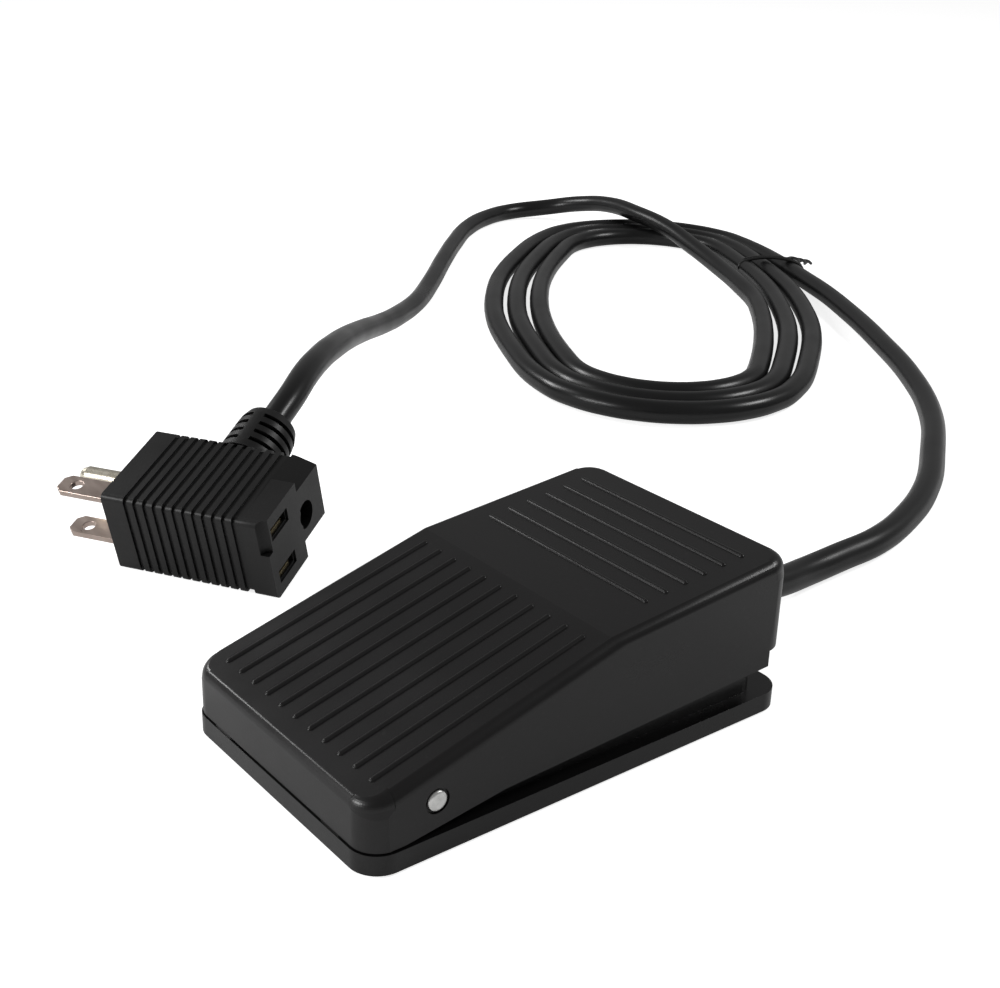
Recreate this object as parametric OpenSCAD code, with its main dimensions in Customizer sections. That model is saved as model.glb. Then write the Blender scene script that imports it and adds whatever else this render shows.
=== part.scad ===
// Foot switch: a hinged, ribbed treadle over a moulded base that holds a snap-action
// switch, with a mains lead that ends in a pass-through plug.
// +X is the right side, +Y points from the toe to the heel, +Z is up. The origin is on
// the floor under the middle of the base. Millimetres.

/* [Housing] */
// Length of the base from toe to heel
body_l = 104; // [100:1:112]
// Width of the base
body_w = 64; // [60:1:76]
// Plan radius of the four corners
corner_r = 6; // [4:0.5:8]
// Height of the base's outer flange above its own underside
flange_t = 4.1; // [3.6:0.1:5]
// Thickness of the base's floor
floor_t = 2.5; // [2:0.1:3]
// Thickness of the base's standing walls
base_wall = 2; // [1.6:0.1:2.4]
// Distance of the base's heel wall from the heel end
heel_step = 5.6; // [5.2:0.1:7]

/* [Treadle] */
// Height of the tread at the toe
toe_h = 14.5; // [13.5:0.1:16]
// Plan length of the sloped tread
tread_l = 55.4; // [50:0.5:60]
// Slope of the front tread in degrees
tread_slope = 15.7; // [15:0.1:18]
// Slope of the heel plate in degrees
heel_slope = 5.6; // [4:0.1:8]
// Thickness of the treadle's walls
cover_wall = 2.2; // [1.8:0.1:2.4]
// Radius of the treadle's top edges
edge_r = 2.6; // [1.5:0.1:3]
// Setback of the treadle from the base's outline
cover_inset = 0.3; // [0:0.1:0.5]
// Gap between the treadle and the base along the toe
parting_gap = 0.35; // [0.3:0.05:0.6]
// Travel of the treadle in degrees
press_deg = 4; // [3:0.1:4]

/* [Tread ribs] */
// Number of ribs along the front tread
tread_ribs = 11; // [7:2:13]
// Spacing of the front ribs
tread_pitch = 5.05; // [4:0.05:5.2]
// Distance of the front ribs from the toe
tread_rib_start = 5.3; // [4.5:0.1:9]
// Number of ribs across the heel plate
heel_ribs = 6; // [4:1:6]
// Spacing of the heel ribs
heel_pitch = 5.25; // [4:0.05:5.4]
// Distance of the last heel rib from the heel
heel_rib_end = 8.75; // [8:0.05:9.5]
// Length of the heel ribs
heel_rib_l = 48.7; // [36:0.1:52]
// Diameter of a rib's round section
rib_d = 1.3; // [1:0.1:1.6]
// Height of a rib above the tread
rib_h = 0.45; // [0.3:0.05:0.6]

/* [Hinge] */
// Distance of the pivot pin from the toe
pin_toe = 14.8; // [13.5:0.1:17]
// Height of the pivot pin above the floor
pin_z = 11.4; // [11:0.1:12]
// Diameter of the pivot pin
pin_d = 4.2; // [3:0.1:5]
// Radial running clearance of the pin
pin_fit = 0.05; // [0.02:0.01:0.1]

/* [Springs] */
// Outer diameter of a return spring
spring_d = 10; // [8:0.5:11]
// Wire diameter of a return spring
spring_wire = 0.9; // [0.6:0.1:1.2]
// Distance of the springs from the sides of the base
spring_side = 13.5; // [13:0.5:15]
// Distance of the springs from the toe
spring_toe = 77; // [74:1:80]
// Number of turns in a spring
spring_turns = 7; // [5:1:8]

/* [Snap switch] */
// Length of the snap switch's case
case_l = 27.8; // [27:0.1:28.5]
// Height of the snap switch's case
case_h = 15.9; // [15:0.1:16]
// Thickness of the snap switch's case
case_w = 10.3; // [9:0.1:11]
// Distance of the case's toe end from the heel of the base
case_heel = 67; // [66:0.5:68]
// Rest angle of the lever in degrees
lever_deg = 9.5; // [9:0.1:10]
// Length of the lever from its pivot to its contact point
lever_l = 23; // [22:0.5:24]
// Thickness of the lever's strip
lever_t = 0.7; // [0.5:0.1:0.9]

/* [Cord] */
// Outer diameter of the mains cord
cord_d = 7.4; // [6.5:0.1:7.6]
// Height of the cord's axis where it enters the base
cord_z = 7.6; // [7.4:0.1:8]
// Length of the strain relief behind the base
boot_l = 27; // [20:1:30]
// Diameter of the strain relief at its root
boot_d = 10.6; // [10:0.1:11]

/* [Plug] */
// Length of the plug's body between its two faces
plug_l = 43; // [40:0.5:46]
// Height of the plug's body
plug_h = 22.6; // [21:0.1:24]
// Depth of the plug's main block
plug_d = 16.4; // [16:0.1:18]
// Depth of the plug's ground side behind the main block
plug_lobe = 11.2; // [10:0.1:12]
// Centre distance of the two blades
blade_gap = 12.7; // [12.5:0.1:12.9]
// Distance of the ground pin from the line of the blades
ground_gap = 11.9; // [11.7:0.1:12]
// Width of a blade
blade_w = 6.35; // [6:0.05:6.6]
// Thickness of a blade
blade_t = 1.5; // [1.4:0.05:1.6]
// Length of a blade in front of the plug
blade_l = 16.3; // [15:0.1:18]
// Diameter of the ground pin
ground_d = 4.8; // [4.6:0.05:4.9]
// Diameter of the socket's ground hole
socket_d = 5.6; // [5.2:0.1:5.8]
// Tilt of the plug about its long edge in degrees
plug_tilt = 16; // [8:1:18]
// Rise of the plug's strain relief in degrees
plug_boot_rise = 10; // [0:1:12]

/* [Hidden] */
$fn = 64;

// ---- clearances and small thicknesses shared by neighbours ----
seat_gap = 0.3;         // between pieces of different bodies that face each other
slide_gap = 0.1;        // round a piece held in a pocket
foot_proud = 0.5;       // feet below the base's underside
foot_d = 9;
foot_depth = 1.2;
foot_inset = 10;        // foot centres from the outline
screw_head_h = 1.6;
press_room = 0.5;       // left under the treadle when it is pressed
cover_draft = 0.2;      // the treadle's sides lean in by this at top and bottom
lift = 0.06;            // the round edges rise by this, so that the roof cuts them
heel_wider = 0.1;       // parts the round edges of tread and heel plate at the crease

// ---- housing levels and lines ----
toe_y = -body_l/2;
heel_y = body_l/2;
flange_top = foot_proud + flange_t;
floor_top = foot_proud + floor_t;
wall_inset = cover_inset + cover_wall + 0.7;
wall_x = body_w/2 - wall_inset;
wall_toe = toe_y + wall_inset + 1;
wall_heel = heel_y - heel_step;
crease_y = toe_y + tread_l;
crease_h = toe_h + tread_l*tan(tread_slope);
pin_y = toe_y + pin_toe;
pin_r = pin_d/2;
cover_x = body_w/2 - cover_inset;
cover_toe = toe_y + cover_inset;
cover_heel = heel_y - cover_inset;
cover_low = flange_top + parting_gap;

// Height of the tread's outer surface at y
function roof(y) = y < crease_y
    ? toe_h + (y - toe_y)*tan(tread_slope)
    : crease_h + (y - crease_y)*tan(heel_slope);
// Height of the roof's underside at y
function under(y) = roof(y) - cover_wall/cos(tread_slope);
// How far a point of the treadle at y sinks when it is pressed
function sink(y) = (y - pin_y)*sin(press_deg);
// Top of the base's standing wall at y
function wall_top(y) = under(y) - max(sink(y), 0) - press_room - 0.5;

// ---- snap switch places ----
case_y = heel_y - case_heel;
case_z = floor_top + 0.3;
case_top = case_z + case_h;
lever_y = case_y + 2;
lever_z = case_top + 0.9;
touch_y = lever_y + lever_l;
touch_z = lever_z + lever_l*tan(lever_deg) + lever_t/2/cos(lever_deg);
plunger_y = lever_y + 7;
plunger_d = 3;
plunger_top = lever_z + (plunger_y - lever_y)*tan(lever_deg) - lever_t/2/cos(lever_deg)
    - 0.05 - plunger_d/2*tan(lever_deg);
screw_pitch_y = 22.2;
screw_z = case_z + 2.8;
bracket_t = 3;
terminal_l = 7;
terminal_w = 4.8;
terminal_t = 0.8;
terminal_z = [case_z + 3, case_z + 8, case_z + 13];

// ---- springs ----
spring_x = body_w/2 - spring_side;
spring_y = toe_y + spring_toe;
spring_foot = floor_top + 1;
spring_head = under(spring_y) - 5;

// ---- cord entry ----
cord_r = cord_d/2;
boot_flange_r = cord_z - foot_proud - 1.1;
boot_flange_t = 1.6;
boot_grip_r = boot_flange_r - 0.9;
boot_neck_d = boot_d - 0.8;
clamp_y = wall_heel - 9;
clamp_w = 6;
clamp_gap_x = 9;        // clamp screws from the cord's axis
clamp_screw_d = 2.6;
jacket_end = clamp_y - 5;

// ---- plug ----
plug_at = [-106, -33, 0];
plug_turn = 32;
plug_front = -6.8;      // front face from the line of the blades
rib_zone = [6, 37];
plug_rib_pitch = 2.6;
plug_rib_w = 1.5;
plug_groove = 0.5;
boot_x = 22;
boot_z = 2;             // the strain relief sits this far above the plug's middle
boot_root = 2;          // and starts this deep inside the plug's back
plug_back = plug_front + plug_d + plug_lobe;
plug_boot_l = 17.7;
plug_boot_d = 17;
contact_depth = 12;
pin_root = 5;           // length of the ground pin's root inside the plug
pin_root_d = ground_d - 1;

// ---- cord route on the floor ----
lead_route = [[0, jacket_end, cord_z], [0, 46, cord_z], [0, 74, cord_z], [-1, 86, 5.6],
    [-3, 98, 4.2], [-4, 112, 4], [-5, 128, 4], [-10, 146, 4], [-20, 168, 4],
    [-36, 192, 4], [-58, 220, 4], [-86, 246, 4], [-116, 268, 4], [-148, 289, 4],
    [-182, 308, 4], [-216, 322, 4]];
tail_route = [[-292, 310, 12.6], [-314, 313, 12.4], [-334, 312, 9.4], [-350, 303, 5.6],
    [-357, 287, 4], [-352, 268, 4], [-339, 247, 4], [-320, 226, 4], [-297, 203, 4],
    [-272, 179, 4], [-248, 155, 5], [-226, 131, 8.5], [-205, 109, 14], [-184, 88, 20.5],
    [-165, 70, 26], [-148, 55, 30.5], [-133, 41, 33.5], [-121, 29, 34], [-113, 20, 32],
    [-108, 12, 28.5], [-104, 5, 24.5]];
coil_at = [-200, 234];
coil_turn = 140;
coil_long = 140;
coil_short = 71;
coil_band = 38;
coil_h = 16;
tie_x = 62;
tie_w = 3;
tie_t = 1;

// Point of a Catmull-Rom curve between b and c
function curve_point(a, b, c, d, s) =
    0.5*(2*b + (c - a)*s + (2*a - 5*b + 4*c - d)*s*s + (3*b - a - 3*c + d)*s*s*s);
// Smooth centre line through the route's points, with n steps in each span
function curve(p, n) = [
    for (i = [0:len(p) - 2]) for (k = [0:n - 1])
        curve_point(p[max(i - 1, 0)], p[i], p[i + 1], p[min(i + 2, len(p) - 1)], k/n),
    p[len(p) - 1]];
function unit(v) = v/norm(v);
// Ring of s points round c, square to the direction t
function ring(c, t, r, s) =
    let(u = unit(cross(t, [0, 0, 1])), w = cross(u, t))
    [for (k = [0:s - 1]) c + r*(cos(360*k/s)*u + sin(360*k/s)*w)];

// Closed tube of radius r with s sides along the centre line c
module tube(c, r, s) {
    last = len(c) - 1;
    rings = [for (i = [0:last])
        each ring(c[i], unit(c[min(i + 1, last)] - c[max(i - 1, 0)]), r, s)];
    sides = [for (i = [0:last - 1]) for (k = [0:s - 1])
        [i*s + k, i*s + (k + 1)%s, (i + 1)*s + (k + 1)%s, (i + 1)*s + k]];
    caps = [[for (k = [s - 1:-1:0]) k], [for (k = [0:s - 1]) last*s + k]];
    polyhedron(rings, concat(sides, caps));
}

// Plan outline: a rectangle from (x0, y0) to (x1, y1) with round corners
module rounded(x0, y0, x1, y1, r) {
    translate([x0 + r, y0]) square([x1 - x0 - 2*r, y1 - y0]);
    translate([x0, y0 + r]) square([x1 - x0, y1 - y0 - 2*r]);
    for (x = [x0 + r, x1 - r]) for (y = [y0 + r, y1 - r]) translate([x, y]) circle(r);
}

// Extrude a side view (y, z) across the part from x0 to x1
module across(x0, x1) {
    translate([x0, 0, 0]) rotate([90, 0, 90]) linear_extrude(x1 - x0) children();
}

// A cylinder along X between two x values
module bar_x(x0, x1, d) {
    translate([x0, 0, 0]) rotate([0, 90, 0]) cylinder(d = d, h = x1 - x0);
}

// ---- base ----
module base() color([0.12, 0.12, 0.12]) {
    boss_l = 6;
    boss_d = pin_d + 4.6;
    difference() {
        union() {
            // floor and flange
            translate([0, 0, foot_proud]) linear_extrude(flange_t)
                rounded(-body_w/2, toe_y, body_w/2, heel_y, corner_r);
            // standing walls, cut to the roof's slope
            intersection() {
                linear_extrude(crease_h)
                    rounded(-wall_x, wall_toe, wall_x, wall_heel, corner_r - 2);
                across(-wall_x, wall_x) polygon([[wall_toe, floor_top],
                    [wall_heel, floor_top], [wall_heel, wall_top(wall_heel)],
                    [crease_y, wall_top(crease_y)], [wall_toe, wall_top(wall_toe)]]);
            }
        }
        // inside of the tray
        translate([0, 0, floor_top]) linear_extrude(crease_h)
            rounded(-wall_x + base_wall, wall_toe + base_wall, wall_x - base_wall,
                wall_heel - base_wall, corner_r - 3);
        // open slot and trough for the strain relief
        translate([-boot_neck_d/2 - slide_gap, wall_heel - base_wall - 1, cord_z])
            cube([boot_neck_d + 2*slide_gap, base_wall + 2, crease_h]);
        translate([0, wall_heel - base_wall - 1, cord_z]) rotate([-90, 0, 0])
            cylinder(r = boot_neck_d/2 + slide_gap, h = base_wall + 2);
        translate([0, wall_heel, cord_z]) rotate([-90, 0, 0])
            cylinder(r = boot_flange_r + slide_gap, h = heel_step + 1);
        translate([0, wall_heel - base_wall - boot_flange_t - seat_gap, cord_z])
            rotate([-90, 0, 0]) cylinder(r = boot_grip_r + slide_gap, h = base_wall);
        // pin holes
        for (s = [-1, 1]) translate([0, pin_y, pin_z])
            bar_x(s*wall_x - boss_l, s*wall_x + boss_l, pin_d + 2*pin_fit);
        // pockets for the feet
        for (x = [-1, 1]) for (y = [-1, 1])
            translate([x*(body_w/2 - foot_inset), y*(body_l/2 - foot_inset), 0])
                cylinder(d = foot_d + 2*slide_gap, h = foot_proud + foot_depth);
    }
    // pin bosses inside the walls
    for (s = [-1, 1]) difference() {
        union() {
            translate([0, pin_y, pin_z]) bar_x(s > 0 ? wall_x - base_wall - boss_l : -wall_x
                + base_wall - 0.01, s > 0 ? wall_x - base_wall + 0.01 : -wall_x + base_wall
                + boss_l, boss_d);
            translate([s > 0 ? wall_x - base_wall - boss_l : -wall_x + base_wall - 0.01,
                pin_y - boss_d/2 + 1, floor_top - 0.01])
                cube([boss_l + 0.01, boss_d - 2, pin_z - floor_top]);
        }
        translate([0, pin_y, pin_z]) bar_x(-wall_x, wall_x, pin_d + 2*pin_fit);
    }
    // bracket that carries the snap switch, with two screw holes
    difference() {
        translate([case_w/2, case_y, floor_top - 0.01])
            cube([bracket_t, case_l, case_h - 4]);
        for (k = [0, 1]) translate([0, case_y + (case_l - screw_pitch_y)/2
            + k*screw_pitch_y, screw_z]) bar_x(0, case_w, clamp_screw_d);
    }
    // sill under the case
    translate([-case_w/2, case_y, floor_top - 0.01]) cube([case_w, 3, 0.31]);
    translate([-case_w/2, case_y + case_l - 3, floor_top - 0.01]) cube([case_w, 3, 0.31]);
    // spring spigots
    for (s = [-1, 1]) translate([s*spring_x, spring_y, floor_top - 0.01]) {
        cylinder(d = spring_d + 1, h = spring_foot - floor_top + 0.01);
        cylinder(d = spring_d - 2*spring_wire - 0.8, h = 5);
    }
    // cord saddle and clamp posts
    difference() {
        union() {
            translate([-clamp_gap_x - 3.5, clamp_y - clamp_w/2, floor_top - 0.01])
                cube([2*clamp_gap_x + 7, clamp_w, cord_z - floor_top]);
        }
        translate([0, clamp_y - clamp_w, cord_z]) rotate([-90, 0, 0])
            cylinder(r = cord_r + slide_gap, h = 2*clamp_w);
        for (s = [-1, 1]) translate([s*clamp_gap_x, clamp_y, floor_top])
            cylinder(d = clamp_screw_d, h = cord_z);
    }
}

module rubber_feet() color([0.08, 0.08, 0.08])
    for (x = [-1, 1]) for (y = [-1, 1])
        translate([x*(body_w/2 - foot_inset), y*(body_l/2 - foot_inset), 0])
            cylinder(d = foot_d, h = foot_proud + foot_depth);

// ---- hinge pin ----
clip_x = wall_x - base_wall - 6 - 0.1;
clip_t = 0.8;
groove_d = pin_d - 1.2;

module pivot_pin() color([0.75, 0.75, 0.74]) {
    end_x = cover_x + 0.15;
    chamfer = 0.4;
    translate([-end_x, pin_y, pin_z]) rotate([0, 90, 0]) rotate_extrude()
        polygon([[0, 0], [pin_r - chamfer, 0], [pin_r, chamfer],
            [pin_r, end_x - clip_x], [groove_d/2, end_x - clip_x],
            [groove_d/2, end_x - clip_x + clip_t], [pin_r, end_x - clip_x + clip_t],
            [pin_r, end_x + clip_x - clip_t], [groove_d/2, end_x + clip_x - clip_t],
            [groove_d/2, end_x + clip_x], [pin_r, end_x + clip_x],
            [pin_r, 2*end_x - chamfer], [pin_r - chamfer, 2*end_x], [0, 2*end_x]]);
}

// Two open retaining rings in the pin's grooves
module pin_clips() color([0.45, 0.45, 0.47])
    for (s = [-1, 1]) translate([s > 0 ? clip_x - clip_t + 0.05 : -clip_x + 0.05,
        pin_y, pin_z]) rotate([0, 90, 0]) difference() {
            cylinder(d = pin_d + 3.4, h = clip_t - 0.1);
            translate([0, 0, -1]) cylinder(d = groove_d + 0.1, h = clip_t + 2);
            translate([0, -groove_d/2 + 0.3, -1])
                cube([pin_d + 3, groove_d - 0.6, clip_t + 2]);
        }

// ---- treadle ----
// Endless bar of the treadle's section, half_w wide to each side, with drafted sides and
// round top edges. Its top lies on the roof at y0 and rises at the angle a.
module sloped_bar(y0, a, half_w) {
    top_x = half_w - cover_draft;
    low_x = half_w + cover_draft;
    depth = crease_h + 12;
    translate([0, y0, roof(y0)]) rotate([90 + a, 0, 0])
        linear_extrude(4*body_l, center = true) difference() {
            union() {
                polygon([[-low_x, -depth], [low_x, -depth], [top_x, -edge_r],
                    [top_x - edge_r, 0], [edge_r - top_x, 0], [-top_x, -edge_r]]);
                for (s = [-1, 1]) translate([s*(top_x - edge_r), lift - edge_r])
                    circle(edge_r);
            }
            translate([-body_w, 0]) square([2*body_w, edge_r]);
        }
}

// Outside of the treadle: where the bars of its two slopes meet, cut to the plan outline,
// with a round toe and heel edge
module block() {
    toe_top = roof(cover_toe + edge_r) + lift - edge_r;
    heel_top = roof(cover_heel - edge_r) + lift - edge_r;
    intersection() {
        sloped_bar(toe_y, tread_slope, cover_x);
        sloped_bar(crease_y, heel_slope, cover_x + heel_wider);
        linear_extrude(90) rounded(-cover_x, cover_toe, cover_x, cover_heel,
            corner_r - cover_inset);
        across(-body_w, body_w) {
            translate([cover_toe + edge_r, toe_top]) circle(edge_r);
            translate([cover_heel - edge_r, heel_top]) circle(edge_r);
            polygon([[cover_toe, 0], [cover_heel, 0], [cover_heel, heel_top],
                [cover_heel - edge_r, heel_top + edge_r], [crease_y, crease_h + 2],
                [cover_toe + edge_r, toe_top + edge_r], [cover_toe, toe_top]]);
        }
    }
}

// Hollow of the treadle under its roof
module hollow() {
    intersection() {
        translate([0, 0, -1]) linear_extrude(90) rounded(cover_wall - cover_x,
            cover_toe + cover_wall, cover_x - cover_wall, cover_heel - cover_wall,
            corner_r - cover_wall);
        across(-body_w, body_w) polygon([[toe_y, -1], [heel_y, -1], [heel_y,
            under(heel_y)], [crease_y, under(crease_y)], [toe_y, under(toe_y)]]);
    }
}

// A rib of length l along X with blunt round ends, sunk so that rib_h stands proud
module rib(l) {
    r = rib_d/2;
    translate([-l/2 - r, 0, rib_h - r]) rotate([0, 90, 0]) rotate_extrude($fn = 24)
        polygon([[0, 0], [0.6*r, 0.25*r], [r, r], [r, l + r], [0.6*r, l + 1.75*r],
            [0, l + 2*r]]);
}

tower_d = 5;
arch_r = boot_d/2 + 0.9;
arch_z = cord_z + boot_d/2 + 0.4 + sink(heel_y) - arch_r + 0.3;
knee_toe = 30;          // the side skirt's lower edge bends this far from the toe
knee_rise = 3.4;
skirt_knee = [toe_y + knee_toe, flange_top + knee_rise];
skirt_heel = flange_top + sink(wall_heel) + press_room;
rear_low = skirt_heel + 3.6;

module treadle() color([0.13, 0.13, 0.13]) {
    rib_l = (tread_l - 2*tread_rib_start + 2.2)/cos(tread_slope);
    rib_y = toe_y + tread_rib_start + rib_l*cos(tread_slope)/2;
    heel_start = heel_y - heel_rib_end - (heel_ribs - 1)*heel_pitch;
    difference() {
        block();
        hollow();
        translate([-body_w, toe_y - 5, -1]) cube([2*body_w, body_l + 10, cover_low + 1]);
        // wedge under the side skirts, and the higher lower edge at the heel
        across(-body_w, body_w) polygon([[toe_y + 8, -1], [toe_y + 8, cover_low],
            skirt_knee, [wall_heel, skirt_heel], [wall_heel, rear_low],
            [heel_y + 5, rear_low], [heel_y + 5, -1]]);
        // arch over the cord
        translate([0, heel_y - heel_step - 3, 0]) rotate([-90, 0, 0])
            translate([0, -arch_z, 0]) cylinder(r = arch_r, h = heel_step + 8);
        translate([-arch_r, heel_y - heel_step - 3, 0])
            cube([2*arch_r, heel_step + 8, arch_z]);
        // pin holes
        translate([0, pin_y, pin_z]) bar_x(-body_w, body_w, pin_d + 2*pin_fit);
    }
    // ribs along the front tread
    for (i = [0:tread_ribs - 1])
        translate([(i - (tread_ribs - 1)/2)*tread_pitch, rib_y, roof(rib_y)])
            rotate([tread_slope, 0, 0]) rotate([0, 0, 90]) rib(rib_l);
    // ribs across the heel plate
    for (i = [0:heel_ribs - 1]) {
        y = heel_start + i*heel_pitch;
        translate([0, y, roof(y)]) rotate([heel_slope, 0, 0]) rib(heel_rib_l);
    }
    // stops under the toe that rest on the base
    for (s = [-1, 1]) translate([s*19.3 - 2.9, cover_toe + 0.4, flange_top])
        cube([5.8, cover_wall - 0.4, parting_gap + 0.1]);
    // tower that presses the lever
    difference() {
        translate([0, touch_y, touch_z + seat_gap + tower_d/2]) {
            sphere(d = tower_d);
            cylinder(d = tower_d - 0.4, h = 12);
        }
        block_above();
    }
    // spring cups
    for (s = [-1, 1]) translate([s*spring_x, spring_y, spring_head]) {
        cylinder(d = spring_d + 1, h = 5.5);
        translate([0, 0, -3]) cylinder(d = spring_d - 2*spring_wire - 0.8, h = 4);
    }
}

// Everything above the middle of the roof's wall, to trim what hangs from it
module block_above() {
    across(-body_w, body_w) polygon([[toe_y, roof(toe_y) - 1.2], [crease_y,
        roof(crease_y) - 1.2], [heel_y, roof(heel_y) - 1.2], [heel_y, 90], [toe_y, 90]]);
}

// ---- return springs ----
module spring(x) {
    r = (spring_d - spring_wire)/2;
    bottom = spring_foot + spring_wire/2;
    top = spring_head - spring_wire/2;
    per_turn = 14;
    steps = spring_turns*per_turn;
    // closed end turns, open turns between them
    function rise(t) = t < 1 ? t*spring_wire
        : t > spring_turns - 1 ? (top - bottom) - (spring_turns - t)*spring_wire
        : spring_wire + (t - 1)*(top - bottom - 2*spring_wire)/(spring_turns - 2);
    tube([for (k = [0:steps]) [x + r*cos(360*k/per_turn), spring_y
        + r*sin(360*k/per_turn), bottom + rise(k/per_turn)]], spring_wire/2, 6);
}
module spring_left() color([0.6, 0.6, 0.62]) spring(-spring_x);
module spring_right() color([0.6, 0.6, 0.62]) spring(spring_x);

// ---- snap switch ----
cover_plate = 1.2;

module switch_holes(x0, x1) {
    for (k = [0, 1]) translate([0, case_y + (case_l - screw_pitch_y)/2
        + k*screw_pitch_y, screw_z]) bar_x(x0, x1, 3.1);
}

module switch_case() color([0.2, 0.2, 0.22]) difference() {
    union() {
        translate([-case_w/2 + cover_plate, case_y, case_z])
            cube([case_w - cover_plate, case_l, case_h]);
        // ears that carry the lever's pivot
        for (x = [-3.6, 2.8]) translate([x, lever_y, lever_z])
            bar_x(0, 0.8, 2.2);
        for (x = [-3.6, 2.8]) translate([x, lever_y - 1.1, case_top - 0.01])
            cube([0.8, 2.2, lever_z - case_top]);
    }
    switch_holes(-case_w, case_w);
    // bore of the plunger
    translate([0, plunger_y, case_top - 4]) cylinder(d = plunger_d + 2*pin_fit, h = 8);
    // pivot holes in the ears
    translate([0, lever_y, lever_z]) bar_x(-6, 6, 1 + 2*pin_fit);
}

module switch_cover() color([0.25, 0.25, 0.27]) difference() {
    translate([-case_w/2, case_y, case_z]) cube([cover_plate, case_l, case_h]);
    switch_holes(-case_w, case_w);
}

module switch_terminals() color([0.75, 0.7, 0.6])
    for (z = terminal_z) difference() {
        translate([-terminal_w/2 + cover_plate/2, case_y + case_l, z])
            cube([terminal_w, terminal_l, terminal_t]);
        translate([cover_plate/2, case_y + case_l + terminal_l - 2, z - 1])
            cylinder(d = 1.6, h = 3);
    }

module switch_screws() color([0.7, 0.7, 0.7])
    for (k = [0, 1]) translate([0, case_y + (case_l - screw_pitch_y)/2
        + k*screw_pitch_y, screw_z]) {
            bar_x(-case_w/2 - screw_head_h, -case_w/2, 5.2);
            bar_x(-case_w/2 - 0.01, case_w/2 + bracket_t - 0.3, clamp_screw_d);
        }

module switch_plunger() color([0.85, 0.2, 0.15])
    translate([0, plunger_y, case_top - 2.5])
        cylinder(d = plunger_d, h = plunger_top - case_top + 2.5);

module switch_lever() color([0.78, 0.78, 0.76])
    translate([0, lever_y, lever_z]) rotate([lever_deg, 0, 0]) {
        difference() {
            translate([-2.25, -1, -lever_t/2]) cube([4.5, lever_l + 4, lever_t]);
            translate([-1, lever_l + 2.2, -1]) cube([2, 2, 2]);
        }
        // pivot barrel
        bar_x(-2.6, 2.6, 1.3);
        bar_x(-3.5, 3.5, 1);
    }

// ---- cord entry ----
module cord_clamp() color([0.15, 0.15, 0.15]) difference() {
    translate([-clamp_gap_x - 3.5, clamp_y - clamp_w/2, cord_z + 0.4])
        cube([2*clamp_gap_x + 7, clamp_w, cord_r + 2]);
    translate([0, clamp_y - clamp_w, cord_z]) rotate([-90, 0, 0])
        cylinder(r = cord_r + slide_gap, h = 2*clamp_w);
    for (s = [-1, 1]) {
        translate([s*clamp_gap_x, clamp_y, cord_z]) cylinder(d = 3, h = 20);
        translate([s*clamp_gap_x, clamp_y, cord_z + 3]) cylinder(d = 5.8, h = 20);
    }
}

module clamp_screws() color([0.7, 0.7, 0.7])
    for (s = [-1, 1]) translate([s*clamp_gap_x, clamp_y, 0]) {
        translate([0, 0, floor_top + 0.5]) cylinder(d = clamp_screw_d,
            h = cord_z + 3 - floor_top - 0.5);
        translate([0, 0, cord_z + 3]) cylinder(d = 5.2, h = screw_head_h);
    }

// Moulded strain relief: two flanges that grip the wall, and a ringed, tapered sleeve
module cord_boot() color([0.1, 0.1, 0.1]) {
    y0 = wall_heel - base_wall;
    tip_d = cord_d + 1.6;
    rings = 5;
    ring_pitch = (boot_l - 6)/rings;
    difference() {
        translate([0, y0, cord_z]) rotate([-90, 0, 0]) difference() {
            union() {
                translate([0, 0, -boot_flange_t - 0.05])
                    cylinder(r = boot_grip_r, h = boot_flange_t);
                translate([0, 0, -0.1]) cylinder(d = boot_neck_d, h = base_wall + 0.2);
                translate([0, 0, base_wall + 0.05])
                    cylinder(r = boot_flange_r, h = boot_flange_t);
                translate([0, 0, base_wall + boot_flange_t])
                    cylinder(d1 = boot_d, d2 = tip_d, h = boot_l);
            }
            for (k = [0:rings - 1])
                translate([0, 0, base_wall + boot_flange_t + 5.4 + k*ring_pitch])
                    difference() {
                        cylinder(d = boot_d + 2, h = 1.4);
                        cylinder(d = cord_d + 1.2, h = 1.4);
                    }
            translate([0, 0, -5]) cylinder(r = cord_r + 0.05, h = boot_l + 20);
        }
    }
}

module wire(x, z) {
    tube(curve([[x, jacket_end + 0.5, cord_z], [x, jacket_end - 2.5, cord_z],
        [x*0.6, (jacket_end + case_y + case_l + terminal_l)/2, (cord_z + z)/2],
        [0.3*x + cover_plate/2, case_y + case_l + terminal_l + 3.6, z],
        [cover_plate/2, case_y + case_l + terminal_l + 2, z]], 3), 0.9, 8);
}
module wire_live() color([0.1, 0.1, 0.1]) wire(-1.7, terminal_z[0] + terminal_t/2);
module wire_load() color([0.85, 0.85, 0.85]) wire(1.7, terminal_z[2] + terminal_t/2);

// Insulated push-on sleeves on two of the terminals
module wire_sleeves() color([0.75, 0.2, 0.15])
    for (z = [terminal_z[0], terminal_z[2]]) difference() {
        translate([cover_plate/2 - terminal_w/2 - 0.7, case_y + case_l + 1.4,
            z + terminal_t/2 - 1.5])
            cube([terminal_w + 1.4, terminal_l + 0.6, 3]);
        translate([cover_plate/2 - terminal_w/2 - 0.05, case_y + case_l, z - 0.05])
            cube([terminal_w + 0.1, terminal_l + 0.05, terminal_t + 0.1]);
    }

// ---- cord outside ----
module cord_lead() color([0.06, 0.06, 0.06]) tube(curve(lead_route, 2), cord_r, 12);
module cord_tail() color([0.06, 0.06, 0.06]) tube(curve(tail_route, 2), cord_r, 12);

// Oval with half axes a and b, round at both ends
module oval(a, b) {
    square([2*(a - b), 2*b], center = true);
    for (s = [-1, 1]) translate([s*(a - b), 0]) circle(b);
}

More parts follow.
